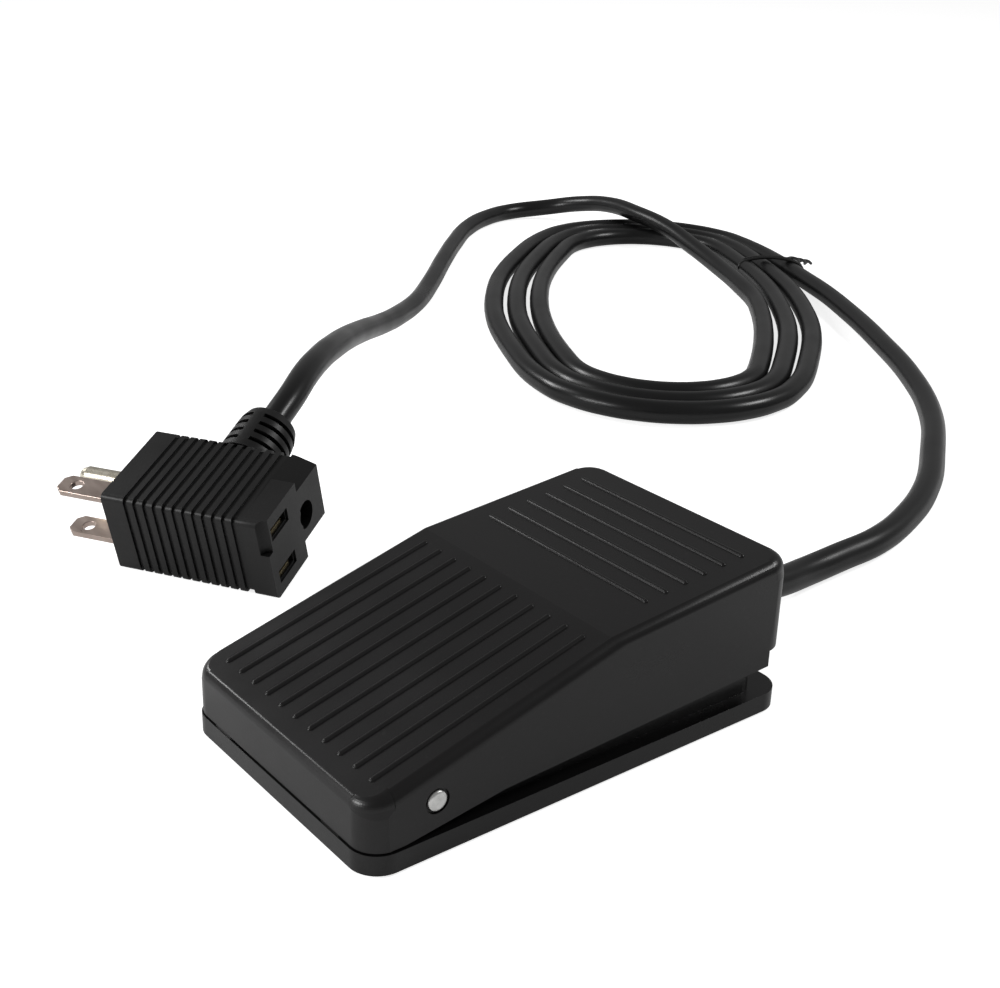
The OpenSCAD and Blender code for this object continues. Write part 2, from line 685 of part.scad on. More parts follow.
// The coil's turns as one closed ring of their outer shape
module cord_coil() color([0.06, 0.06, 0.06])
    translate([coil_at[0], coil_at[1], 0]) rotate([0, 0, coil_turn])
        linear_extrude(coil_h) difference() {
            oval(coil_long, coil_short);
            oval(coil_long - coil_band, coil_short - coil_band);
        }

// Wire tie over the bundle on one long side of the coil
module cord_tie() color([0.05, 0.05, 0.05])
    translate([coil_at[0], coil_at[1], 0]) rotate([0, 0, coil_turn])
        translate([tie_x, 0, 0]) difference() {
            translate([0, -coil_short - tie_t, 0])
                cube([tie_w, coil_band + 2*tie_t, coil_h + tie_t]);
            translate([-1, -coil_short, -1]) cube([tie_w + 2, coil_band, coil_h + 1]);
        }

// ---- plug ----
// From the plug's own frame (x from the blade face to the socket face, y from the front
// to the cord side, z up) to its place on the floor
module place_plug() {
    translate(plug_at) rotate([0, 0, plug_turn]) rotate([plug_tilt, 0, 0])
        translate([0, -plug_front, plug_h/2]) children();
}

// Extrude a plug section (y, z) from x0 to x1
module section(x0, x1) {
    translate([x0, 0, 0]) rotate([90, 0, 90]) linear_extrude(x1 - x0) children();
}

module plug_outline(inset) {
    r = 1.4;
    translate([0, -plug_h/2 + inset]) rounded(plug_front + inset, 0,
        plug_back - inset, plug_h - 2*inset, r);
}

module plug_body() color([0.12, 0.12, 0.12]) place_plug() difference() {
    union() {
        section(0, rib_zone[0]) plug_outline(0);
        section(rib_zone[0] - 0.01, rib_zone[1] + 0.01) plug_outline(plug_groove);
        for (x = [rib_zone[0] + plug_rib_pitch - plug_rib_w:plug_rib_pitch:rib_zone[1] - plug_rib_w])
            section(x, x + plug_rib_w) plug_outline(0);
        section(rib_zone[1], plug_l) plug_outline(0);
    }
    // taper of the ground side towards the socket face
    translate([0, plug_front + plug_d, 0]) rotate([-90, 0, 0]) linear_extrude(plug_lobe + 1)
        polygon([[plug_l + 1, plug_h], [plug_l + 1, 6.4], [plug_l, 6.4], [18, plug_h/2],
            [18, plug_h]]);
    translate([0, plug_front + plug_d, 0]) rotate([-90, 0, 0]) linear_extrude(plug_lobe + 1)
        polygon([[plug_l + 1, -plug_h], [plug_l + 1, -8.6], [plug_l, -8.6],
            [plug_l - 8, -plug_h/2], [plug_l - 8, -plug_h]]);
    // scooped upper corner beside the socket face
    translate([plug_l + 1, plug_front - 1.5, 2]) cylinder(r = 3.6, h = plug_h);
    // slots and ground hole of the socket
    for (s = [-1, 1]) translate([plug_l - contact_depth, -blade_w/2 - 0.4,
        s*blade_gap/2 - blade_t/2 - 0.5])
        cube([contact_depth + 1, blade_w + 0.8, blade_t + 1]);
    translate([plug_l - contact_depth - 5, ground_gap, 0])
        bar_x(0, contact_depth + 6, socket_d);
    // seats of the blades and the ground pin
    for (s = [-1, 1]) translate([-1, -blade_w/2, s*blade_gap/2 - blade_t/2])
        cube([6, blade_w, blade_t]);
    translate([-1, ground_gap, 0]) bar_x(0, pin_root + 1, pin_root_d);
}

// Ringed strain relief that stands out of the plug's cord side and bends up a little. Its
// shape is turned about the cord's axis and cut by the plug's back.
module plug_boot() color([0.11, 0.11, 0.11]) place_plug() difference() {
    translate([boot_x, plug_back, boot_z]) rotate([plug_boot_rise - 90, 0, 0]) difference() {
        translate([0, 0, -boot_root]) rotate_extrude() polygon([[0, 0],
            [plug_boot_d/2 + 1.4, 0], [plug_boot_d/2 + 1.4, boot_root + 0.4],
            [plug_boot_d/2, boot_root + 2.2], [7.6, boot_root + plug_boot_l - 4],
            [6.8, boot_root + plug_boot_l - 1.4], [5, boot_root + plug_boot_l],
            [0, boot_root + plug_boot_l]]);
        for (k = [0:3]) translate([0, 0, 4 + k*2.9]) difference() {
            cylinder(r = 12, h = 1.2);
            cylinder(r = 6, h = 1.2);
            for (s = [-1, 1]) translate([-1.5, s*11 - 6, -1]) cube([3, 12, 4]);
        }
        translate([0, 0, plug_boot_l - 8]) cylinder(r = cord_r + 0.05, h = 10);
    }
    translate([0, plug_back - plug_h, -plug_h]) cube([plug_l, plug_h, 2*plug_h]);
}

module plug_blades() color([0.6, 0.52, 0.46]) place_plug()
    for (s = [-1, 1]) translate([0, 0, s*blade_gap/2]) difference() {
        translate([0, 0, -blade_t/2]) linear_extrude(blade_t) polygon([[5, -blade_w/2],
            [5, blade_w/2], [-blade_l + 1.6, blade_w/2], [-blade_l, blade_w/2 - 1.4],
            [-blade_l, -blade_w/2 + 1.4], [-blade_l + 1.6, -blade_w/2]]);
        translate([-blade_l + 4.6, 0, -blade_t]) cylinder(d = 3.2, h = 2*blade_t);
    }

module plug_ground_pin() color([0.8, 0.76, 0.68]) place_plug()
    translate([0, ground_gap, 0]) rotate([0, -90, 0]) rotate_extrude()
        polygon([[0, -pin_root], [pin_root_d/2, -pin_root], [pin_root_d/2, seat_gap],
            [ground_d/2, seat_gap], [ground_d/2, blade_l + 1.2],
            [ground_d/2 - 0.6, blade_l + 2.6], [ground_d/2 - 1.4, blade_l + 3.3],
            [0, blade_l + 3.5]]);

module socket_contacts() color([0.8, 0.7, 0.5]) place_plug()
    for (s = [-1, 1]) for (t = [-1, 1])
        translate([plug_l - contact_depth, -blade_w/2, s*blade_gap/2
            + t*(blade_t/2 + 0.3) - 0.2])
            cube([contact_depth - 1.5, blade_w, 0.4]);

base();
rubber_feet();
pivot_pin();
pin_clips();
treadle();
spring_left();
spring_right();
switch_case();
switch_cover();
switch_terminals();
switch_screws();
switch_plunger();
switch_lever();
cord_clamp();
clamp_screws();
wire_live();
wire_load();
wire_sleeves();
cord_boot();
cord_lead();
cord_coil();
cord_tail();
cord_tie();
plug_body();
plug_boot();
plug_blades();
plug_ground_pin();
socket_contacts();
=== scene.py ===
import math

import bmesh
import bpy
from mathutils import Matrix, Vector


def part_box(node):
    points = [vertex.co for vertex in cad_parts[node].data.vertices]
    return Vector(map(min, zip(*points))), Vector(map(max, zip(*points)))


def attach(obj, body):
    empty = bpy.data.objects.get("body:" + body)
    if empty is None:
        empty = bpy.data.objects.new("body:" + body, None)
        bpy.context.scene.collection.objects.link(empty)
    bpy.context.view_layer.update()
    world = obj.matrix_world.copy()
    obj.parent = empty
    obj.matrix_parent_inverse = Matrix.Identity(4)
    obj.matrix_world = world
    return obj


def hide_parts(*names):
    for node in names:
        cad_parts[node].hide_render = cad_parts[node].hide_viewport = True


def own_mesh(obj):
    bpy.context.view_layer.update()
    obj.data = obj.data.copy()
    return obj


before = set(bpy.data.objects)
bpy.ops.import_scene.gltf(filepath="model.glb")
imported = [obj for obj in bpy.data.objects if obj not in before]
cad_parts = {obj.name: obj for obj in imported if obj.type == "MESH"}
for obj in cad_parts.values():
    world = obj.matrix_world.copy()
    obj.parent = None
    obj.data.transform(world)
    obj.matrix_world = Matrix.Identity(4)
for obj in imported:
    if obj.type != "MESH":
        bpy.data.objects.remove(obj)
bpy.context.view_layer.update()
MM = 0.001

# ---- Studio ----
# A pale table top and three soft boxes round the switch, with a white room behind it.
# The camera stands at the toe's right corner and looks down over the treadle.
scene = bpy.context.scene
scene.view_settings.view_transform = "Standard"


def link_up(tree, pairs):
    """Join sockets, given as (node, output, node, input)."""
    for a, out, b, into in pairs:
        tree.links.new(a.outputs[out], b.inputs[into])


def soft_box(name, place, aim, size, power):
    lamp = bpy.data.lights.new(name, "AREA")
    lamp.shape = "RECTANGLE"
    lamp.size, lamp.size_y = size
    lamp.energy = power
    box = bpy.data.objects.new(name, lamp)
    scene.collection.objects.link(box)
    box.location = place
    box.rotation_euler = (Vector(aim) - Vector(place)).to_track_quat("-Z", "Y").to_euler()


soft_box("soft_box_toe", (-0.3, -0.95, 0.38), (0, 0, 0.01), (0.45, 0.25), 7)
soft_box("soft_box_left", (-1.0, -0.3, 0.6), (-0.05, 0.05, 0), (0.35, 0.25), 5)
soft_box("soft_box_heel", (0.45, 0.95, 0.9), (0, 0.05, 0), (0.4, 0.22), 6)

world = bpy.data.worlds.new("white_room")
scene.world = world
world.use_nodes = True
room = world.node_tree
room.nodes.clear()
room_light = room.nodes.new("ShaderNodeBackground")
room_light.inputs["Color"].default_value = (1, 1, 1, 1)
room_light.inputs["Strength"].default_value = 0.16
room_seen = room.nodes.new("ShaderNodeBackground")
room_seen.inputs["Color"].default_value = (1, 1, 1, 1)
room_path = room.nodes.new("ShaderNodeLightPath")
room_shine = room.nodes.new("ShaderNodeMath")
room_shine.operation = "MULTIPLY_ADD"
room_shine.inputs[1].default_value = 0.14
room_mix = room.nodes.new("ShaderNodeMixShader")
room_out = room.nodes.new("ShaderNodeOutputWorld")
link_up(room, [
    (room_path, "Is Glossy Ray", room_shine, 0),
    (room_path, "Is Camera Ray", room_shine, 2),
    (room_shine, 0, room_mix, 0),
    (room_light, 0, room_mix, 1),
    (room_seen, 0, room_mix, 2),
    (room_mix, 0, room_out, 0),
])

table_mesh = bpy.data.meshes.new("table_top")
table_shape = bmesh.new()
bmesh.ops.create_grid(table_shape, x_segments=1, y_segments=1, size=6)
table_shape.to_mesh(table_mesh)
table_shape.free()
table_top = bpy.data.objects.new("table_top", table_mesh)
scene.collection.objects.link(table_top)
table_paper = bpy.data.materials.new("table_paper")
table_paper.use_nodes = True
paper = table_paper.node_tree
paper_skin = paper.nodes["Principled BSDF"]
paper_skin.inputs["Base Color"].default_value = (0.8, 0.8, 0.8, 1)
paper_skin.inputs["Roughness"].default_value = 0.9
paper_skin.inputs["Specular IOR Level"].default_value = 0.1
paper_glow = paper.nodes.new("ShaderNodeEmission")
paper_glow.inputs["Strength"].default_value = 0.8
paper_path = paper.nodes.new("ShaderNodeLightPath")
paper_shine = paper.nodes.new("ShaderNodeMath")
paper_shine.operation = "MULTIPLY_ADD"
paper_shine.inputs[1].default_value = 0.24
paper_both = paper.nodes.new("ShaderNodeAddShader")
paper_pick = paper.nodes.new("ShaderNodeMixShader")
link_up(paper, [
    (paper_skin, 0, paper_both, 0),
    (paper_glow, 0, paper_both, 1),
    (paper_path, "Is Glossy Ray", paper_shine, 0),
    (paper_path, "Is Camera Ray", paper_shine, 2),
    (paper_shine, 0, paper_pick, 0),
    (paper_skin, 0, paper_pick, 1),
    (paper_both, 0, paper_pick, 2),
    (paper_pick, 0, paper.nodes["Material Output"], 0),
])
table_mesh.materials.append(table_paper)

camera_data = bpy.data.cameras.new("camera")
camera_data.lens = 54
camera_data.sensor_width = 36
camera_data.sensor_fit = "HORIZONTAL"
camera_data.clip_start = 0.01
camera = bpy.data.objects.new("camera", camera_data)
camera.location = (0.20766, -0.16687, 0.16238)
camera.rotation_euler = [math.radians(a) for a in (66.985, -1.694, 51.981)]
scene.collection.objects.link(camera)
scene.camera = camera

# ---- Base ----
# The lower half of the housing, injection moulded in black ABS with a fine spark-eroded
# grain. Its flange is a little rounded by the tool, and carries the whole switch.


def grain_group():
    """Moulded grain: fine pits, slow waves in the gloss and faint handling marks."""
    group = bpy.data.node_groups.new("moulded_grain", "ShaderNodeTree")
    face = group.interface
    scale = face.new_socket("Grain Scale", in_out="INPUT", socket_type="NodeSocketFloat")
    scale.default_value = 2600
    face.new_socket("Height", in_out="OUTPUT", socket_type="NodeSocketFloat")
    face.new_socket("Gloss", in_out="OUTPUT", socket_type="NodeSocketFloat")
    face.new_socket("Tone", in_out="OUTPUT", socket_type="NodeSocketFloat")
    nodes = group.nodes
    source = nodes.new("NodeGroupInput")
    place = nodes.new("ShaderNodeTexCoord")
    pits = nodes.new("ShaderNodeTexNoise")
    pits.inputs["Detail"].default_value = 3
    pits.inputs["Roughness"].default_value = 0.6
    waves = nodes.new("ShaderNodeTexNoise")
    waves.inputs["Scale"].default_value = 42
    waves.inputs["Detail"].default_value = 5
    dust = nodes.new("ShaderNodeTexNoise")
    dust.inputs["Scale"].default_value = 900
    dust.inputs["Detail"].default_value = 2
    speck = nodes.new("ShaderNodeMapRange")
    speck.inputs["From Min"].default_value = 0.66
    speck.inputs["From Max"].default_value = 0.78
    gloss = nodes.new("ShaderNodeMapRange")
    gloss.inputs["From Min"].default_value = 0.3
    gloss.inputs["From Max"].default_value = 0.7
    sink = nodes.new("NodeGroupOutput")
    link_up(group, [
        (source, "Grain Scale", pits, "Scale"),
        (place, "Object", pits, "Vector"),
        (place, "Object", waves, "Vector"),
        (place, "Object", dust, "Vector"),
        (dust, 0, speck, "Value"),
        (waves, 0, gloss, "Value"),
        (pits, 0, sink, "Height"),
        (gloss, 0, sink, "Gloss"),
        (speck, 0, sink, "Tone"),
    ])
    return group


MOULDED_GRAIN = grain_group()


def moulded(name, dark, light, rough, scale=2600, depth=0.35, shine=0.42):
    """Black moulded plastic or rubber: two close tones, a gloss range and a grain."""
    skin = bpy.data.materials.new(name)
    skin.use_nodes = True
    tree = skin.node_tree
    body = tree.nodes["Principled BSDF"]
    grain = tree.nodes.new("ShaderNodeGroup")
    grain.node_tree = MOULDED_GRAIN
    grain.inputs["Grain Scale"].default_value = scale
    tone = tree.nodes.new("ShaderNodeMix")
    tone.data_type = "RGBA"
    tone.inputs["A"].default_value = (*dark, 1)
    tone.inputs["B"].default_value = (*light, 1)
    gloss = tree.nodes.new("ShaderNodeMapRange")
    gloss.inputs["To Min"].default_value = rough[0]
    gloss.inputs["To Max"].default_value = rough[1]
    bump = tree.nodes.new("ShaderNodeBump")
    bump.inputs["Strength"].default_value = depth
    bump.inputs["Distance"].default_value = 0.00006
    body.inputs["Specular IOR Level"].default_value = shine
    link_up(tree, [
        (grain, "Tone", tone, "Factor"),
        (tone, "Result", body, "Base Color"),
        (grain, "Gloss", gloss, "Value"),
        (gloss, 0, body, "Roughness"),
        (grain, "Height", bump, "Height"),
        (bump, 0, body, "Normal"),
        (body, 0, tree.nodes["Material Output"], 0),
    ])
    return skin


def softened(node, skin, edge, turn=30):
    """A finished copy of a CAD piece: merged, its sharp edges rounded and its faces smooth."""
    shape = bmesh.new()
    shape.from_mesh(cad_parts[node].data)
    bmesh.ops.remove_doubles(shape, verts=shape.verts, dist=2e-6)
    bmesh.ops.dissolve_limit(shape, angle_limit=math.radians(0.4), verts=shape.verts,
        edges=shape.edges, delimit={"NORMAL"})
    for face in shape.faces:
        face.smooth = True
    mesh = bpy.data.meshes.new(node + "_finished")
    shape.to_mesh(mesh)
    shape.free()
    mesh.materials.clear()
    mesh.materials.append(skin)
    mesh.set_sharp_from_angle(angle=math.radians(turn))
    piece = bpy.data.objects.new(node + "_finished", mesh)
    scene.collection.objects.link(piece)
    if edge:
        bevel = piece.modifiers.new("rounded_edges", "BEVEL")
        bevel.width = edge
        bevel.segments = 2
        bevel.limit_method = "ANGLE"
        bevel.angle_limit = math.radians(turn)
        bevel.use_clamp_overlap = True
    level = piece.modifiers.new("flat_faces_stay_flat", "WEIGHTED_NORMAL")
    level.keep_sharp = True
    level.weight = 100
    return piece


base_skin = moulded("base_plastic_skin", (0.0048, 0.0046, 0.0047), (0.009, 0.0087, 0.0087),
    (0.24, 0.36), shine=0.34)
base = softened("base", base_skin, 0.3*MM)
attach(base, "housing")
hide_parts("base")

# ---- Rubber feet ----
# Four discs of dull black rubber, pressed into pockets under the flange's corners. They
# keep the switch from sliding away from the foot.


def dress(node, skin):
    """Give a CAD piece that is kept as it is its finish."""
    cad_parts[node].data.materials[0] = skin


dress("rubber_feet", moulded("foot_rubber", (0.012, 0.012, 0.012), (0.026, 0.025, 0.024),
    (0.62, 0.8), 1500))

# ---- Pivot pin and its clips ----
# A bright drawn steel pin through both sides of the treadle, its round end just proud of
# the hole, held inside by two dull spring clips.


def metal(name, dull, bright, rough, scale=700, stretch=(1, 1, 1), depth=0.2):
    """Drawn or rolled metal: two tones and fine lines along one direction."""
    skin = bpy.data.materials.new(name)
    skin.use_nodes = True
    tree = skin.node_tree
    body = tree.nodes["Principled BSDF"]
    body.inputs["Metallic"].default_value = 1
    place = tree.nodes.new("ShaderNodeTexCoord")
    turn = tree.nodes.new("ShaderNodeMapping")
    turn.inputs["Scale"].default_value = stretch
    lines = tree.nodes.new("ShaderNodeTexNoise")
    lines.inputs["Scale"].default_value = scale
    lines.inputs["Detail"].default_value = 4
    tone = tree.nodes.new("ShaderNodeMix")
    tone.data_type = "RGBA"
    tone.inputs["A"].default_value = (*dull, 1)
    tone.inputs["B"].default_value = (*bright, 1)
    gloss = tree.nodes.new("ShaderNodeMapRange")
    gloss.inputs["To Min"].default_value = rough[0]
    gloss.inputs["To Max"].default_value = rough[1]
    bump = tree.nodes.new("ShaderNodeBump")
    bump.inputs["Strength"].default_value = depth
    bump.inputs["Distance"].default_value = 0.00004
    link_up(tree, [
        (place, "Object", turn, "Vector"),
        (turn, 0, lines, "Vector"),
        (lines, 0, tone, "Factor"),
        (tone, "Result", body, "Base Color"),
        (lines, 0, gloss, "Value"),
        (gloss, 0, body, "Roughness"),
        (lines, 0, bump, "Height"),
        (bump, 0, body, "Normal"),
    ])
    return skin


pin_skin = metal("pin_steel_skin", (0.50, 0.50, 0.49), (0.85, 0.85, 0.83), (0.22, 0.4), 900,
    (0.1, 1, 1))
pin = softened("pivot_pin", pin_skin, 0.25*MM)
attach(pin, "housing")
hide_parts("pivot_pin")
dress("pin_clips", metal("clip_spring_steel", (0.2, 0.2, 0.21), (0.42, 0.42, 0.43), (0.3, 0.5)))

# ---- Treadle ----
# The ribbed cover that the foot presses, moulded in one piece with rounded top edges. On the
# real cover a polished tool leaves its sides and ribs glossier than the fine-grained panels
# between; here one grained finish covers all of it.
treadle_skin = moulded("cover_plastic_skin", (0.0050, 0.0045, 0.0047), (0.010, 0.0092, 0.0093),
    (0.27, 0.38), 2200, 0.16, shine=0.36)
treadle = softened("treadle", treadle_skin, 0, 28)
cover_low, cover_high = [Vector(c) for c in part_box("treadle")]
SIDE_DRAFT = 0.3*MM         # the sides lean in by this at the roof
CORNER_R = 5.7*MM           # plan corners
EDGE_R = 2.6*MM             # rolled edge of the roof
TOE_Y = -52*MM
TOE_TOP = 14.5*MM
TOE_SLOPE = math.tan(math.radians(15.7))
KNEE_Y = 3.4*MM             # where the roof's two slopes meet
KNEE_TOP = TOE_TOP + (KNEE_Y - TOE_Y)*TOE_SLOPE
HEEL_SLOPE = math.tan(math.radians(5.6))
EDGE_STEPS = 12
CORNER_STEPS = 16


def plain_cutter(name, shape):
    """Object for a Boolean cut, from a bmesh that is already in place."""
    mesh = bpy.data.meshes.new(name)
    bmesh.ops.recalc_face_normals(shape, faces=shape.faces)
    shape.to_mesh(mesh)
    shape.free()
    cutter = bpy.data.objects.new(name, mesh)
    scene.collection.objects.link(cutter)
    return cutter


def corner_cutter(name, side, end, roof_z, slope):
    """Sweep of a hollow fillet round one plan corner, to take the corner off the roof."""
    middle = Vector((side*(cover_high.x - SIDE_DRAFT - CORNER_R),
        (cover_low.y if end < 0 else cover_high.y) - end*CORNER_R, 0))
    inner = CORNER_R - EDGE_R
    outer = CORNER_R + 1.5*MM
    foot = -EDGE_R - 1.6*MM
    above = 1.2*MM
    section = [(CORNER_R + SIDE_DRAFT, foot)]
    for step in range(EDGE_STEPS + 1):
        rise = math.radians(90*step/EDGE_STEPS)
        section.append((inner + EDGE_R*math.cos(rise), EDGE_R*math.sin(rise) - EDGE_R))
    section += [(inner, above), (outer, above), (outer, foot)]
    shape = bmesh.new()
    face = shape.faces.new([shape.verts.new((r, 0, z)) for r, z in section])
    bmesh.ops.spin(shape, geom=[face, *face.edges, *face.verts], cent=(0, 0, 0), axis=(0, 0, 1),
        angle=math.radians(90), steps=CORNER_STEPS)
    for corner in shape.verts:
        along = abs(math.atan2(corner.co.y, corner.co.x))
        corner.co.z += roof_z + slope*(middle.y + end*inner*math.sin(along))
    bmesh.ops.transform(shape, verts=shape.verts,
        matrix=Matrix.Translation(middle) @ Matrix.Diagonal((side, end, 1, 1)))
    return plain_cutter(name, shape)


def cut_away(piece, cutters):
    """Take the cutters out of a finished copy, ahead of its edge rounding."""
    finishing = len(piece.modifiers)
    for cutter in cutters:
        cut = piece.modifiers.new("cut", "BOOLEAN")
        cut.operation = "DIFFERENCE"
        cut.solver = "EXACT"
        cut.object = cutter
        last = len(piece.modifiers) - 1
        piece.modifiers.move(last, last - finishing)
    done = bpy.data.meshes.new_from_object(piece.evaluated_get(
        bpy.context.evaluated_depsgraph_get()))
    piece.modifiers.clear()
    piece.data = done
    for cutter in cutters:
        bpy.data.objects.remove(cutter)


toe_level = TOE_TOP - TOE_Y*TOE_SLOPE
heel_level = KNEE_TOP - KNEE_Y*HEEL_SLOPE
cutters = [corner_cutter("toe_corner", side, -1, toe_level, TOE_SLOPE) for side in (-1, 1)]
cutters += [corner_cutter("heel_corner", side, 1, heel_level, HEEL_SLOPE) for side in (-1, 1)]

RING_R = 2.55*MM            # shallow seat round each end of the pin
RING_DEPTH = 0.6*MM
RING_TALL = 1.6*MM
pin_low, pin_high = [Vector(c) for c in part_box("pivot_pin")]
pin_middle = (pin_low + pin_high)/2
for side in (-1, 1):
    ring = bmesh.new()
    bmesh.ops.create_cone(ring, cap_ends=True, segments=40, radius1=RING_R, radius2=RING_R,
        depth=RING_TALL)
    ring_x = side*(cover_high.x - RING_DEPTH + RING_TALL/2)
    bmesh.ops.transform(ring, verts=ring.verts,
        matrix=Matrix.Translation((ring_x, pin_middle.y, pin_middle.z))
        @ Matrix.Rotation(math.radians(90), 4, "Y"))
    cutters.append(plain_cutter("pin_ring", ring))
cut_away(treadle, cutters)

TAB_X = 19.3*MM             # small stops on the toe's lower edge
TAB_Z = 4.9*MM
TAB_IN = 1.03*MM
TAB_SIZE = (5.8*MM, 2*MM, 0.6*MM)
tabs = bmesh.new()
tabs.from_mesh(treadle.data)
for side in (-1, 1):
    tab = bmesh.ops.create_cube(tabs, size=1)["verts"]
    bmesh.ops.transform(tabs, verts=tab,
        matrix=Matrix.Translation((side*TAB_X, cover_low.y + TAB_IN, TAB_Z))
        @ Matrix.Diagonal((*TAB_SIZE, 1)))
tabs.to_mesh(treadle.data)
tabs.free()
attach(treadle, "pedal")
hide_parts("treadle")

# ---- Return springs ----
# Two helical springs of plated music wire, between the base's floor and the treadle's roof.
# In the real switch each shortens with the treadle, which sinks in proportion to its distance
# from the pin; here each keeps its rest shape, with a mesh of its own.
spring_wire = metal("spring_wire", (0.32, 0.32, 0.33), (0.62, 0.62, 0.62), (0.2, 0.38), 1200)
for side in ("left", "right"):
    spring = softened("spring_" + side, spring_wire, 0, 60)
    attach(spring, "housing")
    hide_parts("spring_" + side)
    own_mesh(spring)

# ---- Snap switch ----
# A bought-in microswitch: a black phenolic case and cover, brass terminals, a red button
# and a stainless lever, screwed to the base's bracket.
SCREW_STEEL = ((0.45, 0.45, 0.44), (0.7, 0.7, 0.69), (0.25, 0.42))
dress("switch_case", moulded("case_phenolic", (0.016, 0.016, 0.018), (0.03, 0.03, 0.032),
    (0.42, 0.6)))
dress("switch_cover", moulded("cover_phenolic", (0.024, 0.024, 0.027), (0.04, 0.04, 0.044),
    (0.42, 0.6)))
dress("switch_plunger", moulded("button_acetal", (0.5, 0.03, 0.02), (0.62, 0.06, 0.04),
    (0.3, 0.42)))
dress("switch_terminals", metal("terminal_brass_skin", (0.55, 0.42, 0.2), (0.78, 0.64, 0.36),
    (0.25, 0.45)))
dress("switch_screws", metal("case_screw_steel", *SCREW_STEEL))
dress("switch_lever", metal("lever_stainless", (0.5, 0.5, 0.49), (0.75, 0.75, 0.73),
    (0.2, 0.36), 900, (6, 0.3, 6)))

# ---- Cord clamp and wires ----
# A moulded bar screwed down over the cord's jacket; two sleeved conductors run from there
# to the switch's tabs.
dress("cord_clamp", moulded("clamp_nylon", (0.02, 0.02, 0.02), (0.034, 0.034, 0.034),
    (0.4, 0.55)))
dress("clamp_screws", metal("clamp_screw_steel", *SCREW_STEEL))
dress("wire_live", moulded("live_pvc", (0.012, 0.012, 0.012), (0.02, 0.02, 0.02), (0.3, 0.42)))
dress("wire_load", moulded("load_pvc", (0.62, 0.61, 0.58), (0.7, 0.69, 0.66), (0.3, 0.42)))
dress("wire_sleeves", moulded("sleeve_vinyl", (0.5, 0.03, 0.025), (0.6, 0.05, 0.04),
    (0.32, 0.46)))

# ---- Strain relief at the base ----
# A soft PVC sleeve, gripped by the base's heel wall, in which the cord leaves the switch.
# It is moulded in rings and tapers outwards, so that the cord bends there in a wide curve.
relief_skin = moulded("relief_pvc", (0.0056, 0.0056, 0.0058), (0.010, 0.010, 0.010),
    (0.32, 0.45), 2000, 0.25)
relief = softened("cord_boot", relief_skin, 0.2*MM)
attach(relief, "housing")
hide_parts("cord_boot")

# ---- Mains cord ----
# A round three-core cord with a glossy black PVC jacket. It leaves the heel, lies in three
# flat turns like a racetrack, passes over them in a low hump and climbs into the plug.
CORD_D = 7.4*MM
lead_route = [(0, 32.4, 7.6), (0, 46, 7.6), (0, 74, 7.6), (-1, 86, 5.6), (-3, 98, 4.2),
    (-4, 112, 4), (-5, 128, 4), (-10, 146, 4), (-20, 168, 4), (-36, 192, 4), (-58, 220, 4),
    (-86, 246, 4), (-116, 268, 4), (-148, 289, 4), (-182, 308, 4)]
over_route = [(-176, 267, 4), (-200, 282, 4.6), (-224, 293.5, 5.6), (-248, 302, 8),
    (-270, 307.5, 11)]
tail_route = [(-292, 310, 12.6), (-314, 313, 12.4), (-334, 312, 9.4), (-350, 303, 5.6),
    (-357, 287, 4), (-352, 268, 4), (-339, 247, 4), (-320, 226, 4), (-297, 203, 4),
    (-272, 179, 4), (-248, 155, 5), (-226, 131, 8.5), (-205, 109, 14), (-184, 88, 20.5),
    (-165, 70, 26), (-148, 55, 30.5), (-133, 41, 33.5), (-121, 29, 34), (-113, 20, 32),
    (-108, 12, 28.5), (-104, 5, 24.5)]
COIL_AT = Vector((-200, 234, 4))
COIL_TURN = math.radians(140)
COIL_LONG = Vector((math.cos(COIL_TURN), math.sin(COIL_TURN), 0))
COIL_SHORT = Vector((-COIL_LONG.y, COIL_LONG.x, 0))
COIL_A, COIL_B = 132, 66    # half length and half width of the outer turn
COIL_END = 50               # bend radius of its two ends
PITCH_A, PITCH_B, PITCH_END = 9.2, 8.8, 6.6     # what each full turn takes off these
COIL_START = -60            # where the cord joins the outer turn, in degrees
COIL_STOP = 975


def coil_point(angle, turns):
    """Point of a flat oval of four arcs, whose normal there has the given angle."""
    a, b, end = COIL_A - PITCH_A*turns, COIL_B - PITCH_B*turns, COIL_END - PITCH_END*turns
    flank = (a*a + b*b - 2*a*end)/(2*(b - end))
    cosine, sine = math.cos(math.radians(angle)), math.sin(math.radians(angle))
    if abs(sine) <= math.sin(math.atan2(flank - b, a - end)):
        along, across = math.copysign(a - end, cosine) + end*cosine, end*sine
    else:
        along, across = flank*cosine, flank*sine - math.copysign(flank - b, sine)
    return COIL_AT + COIL_LONG*along + COIL_SHORT*across


coil_route = [coil_point(angle, (angle - COIL_START)/360)
    for angle in range(COIL_START, COIL_STOP + 1, 15)]

line = bpy.data.curves.new("mains_cord", "CURVE")
line.dimensions = "3D"
line.resolution_u = 8
line.bevel_depth = CORD_D/2
line.bevel_resolution = 6
line.use_fill_caps = True
spline = line.splines.new("BEZIER")
cord_points = [Vector(p)*MM for p in lead_route + coil_route + over_route + tail_route]
spline.bezier_points.add(len(cord_points) - 1)
for knot, place in zip(spline.bezier_points, cord_points):
    knot.co = place
    knot.handle_left_type = knot.handle_right_type = "AUTO"
mains_cord = bpy.data.objects.new("mains_cord", line)
scene.collection.objects.link(mains_cord)
line.materials.append(moulded("jacket_pvc", (0.0050, 0.0050, 0.0052), (0.008, 0.008, 0.008),
    (0.26, 0.36), 1100, 0.12, shine=0.34))
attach(mains_cord, "housing")
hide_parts("cord_lead", "cord_coil", "cord_tail")

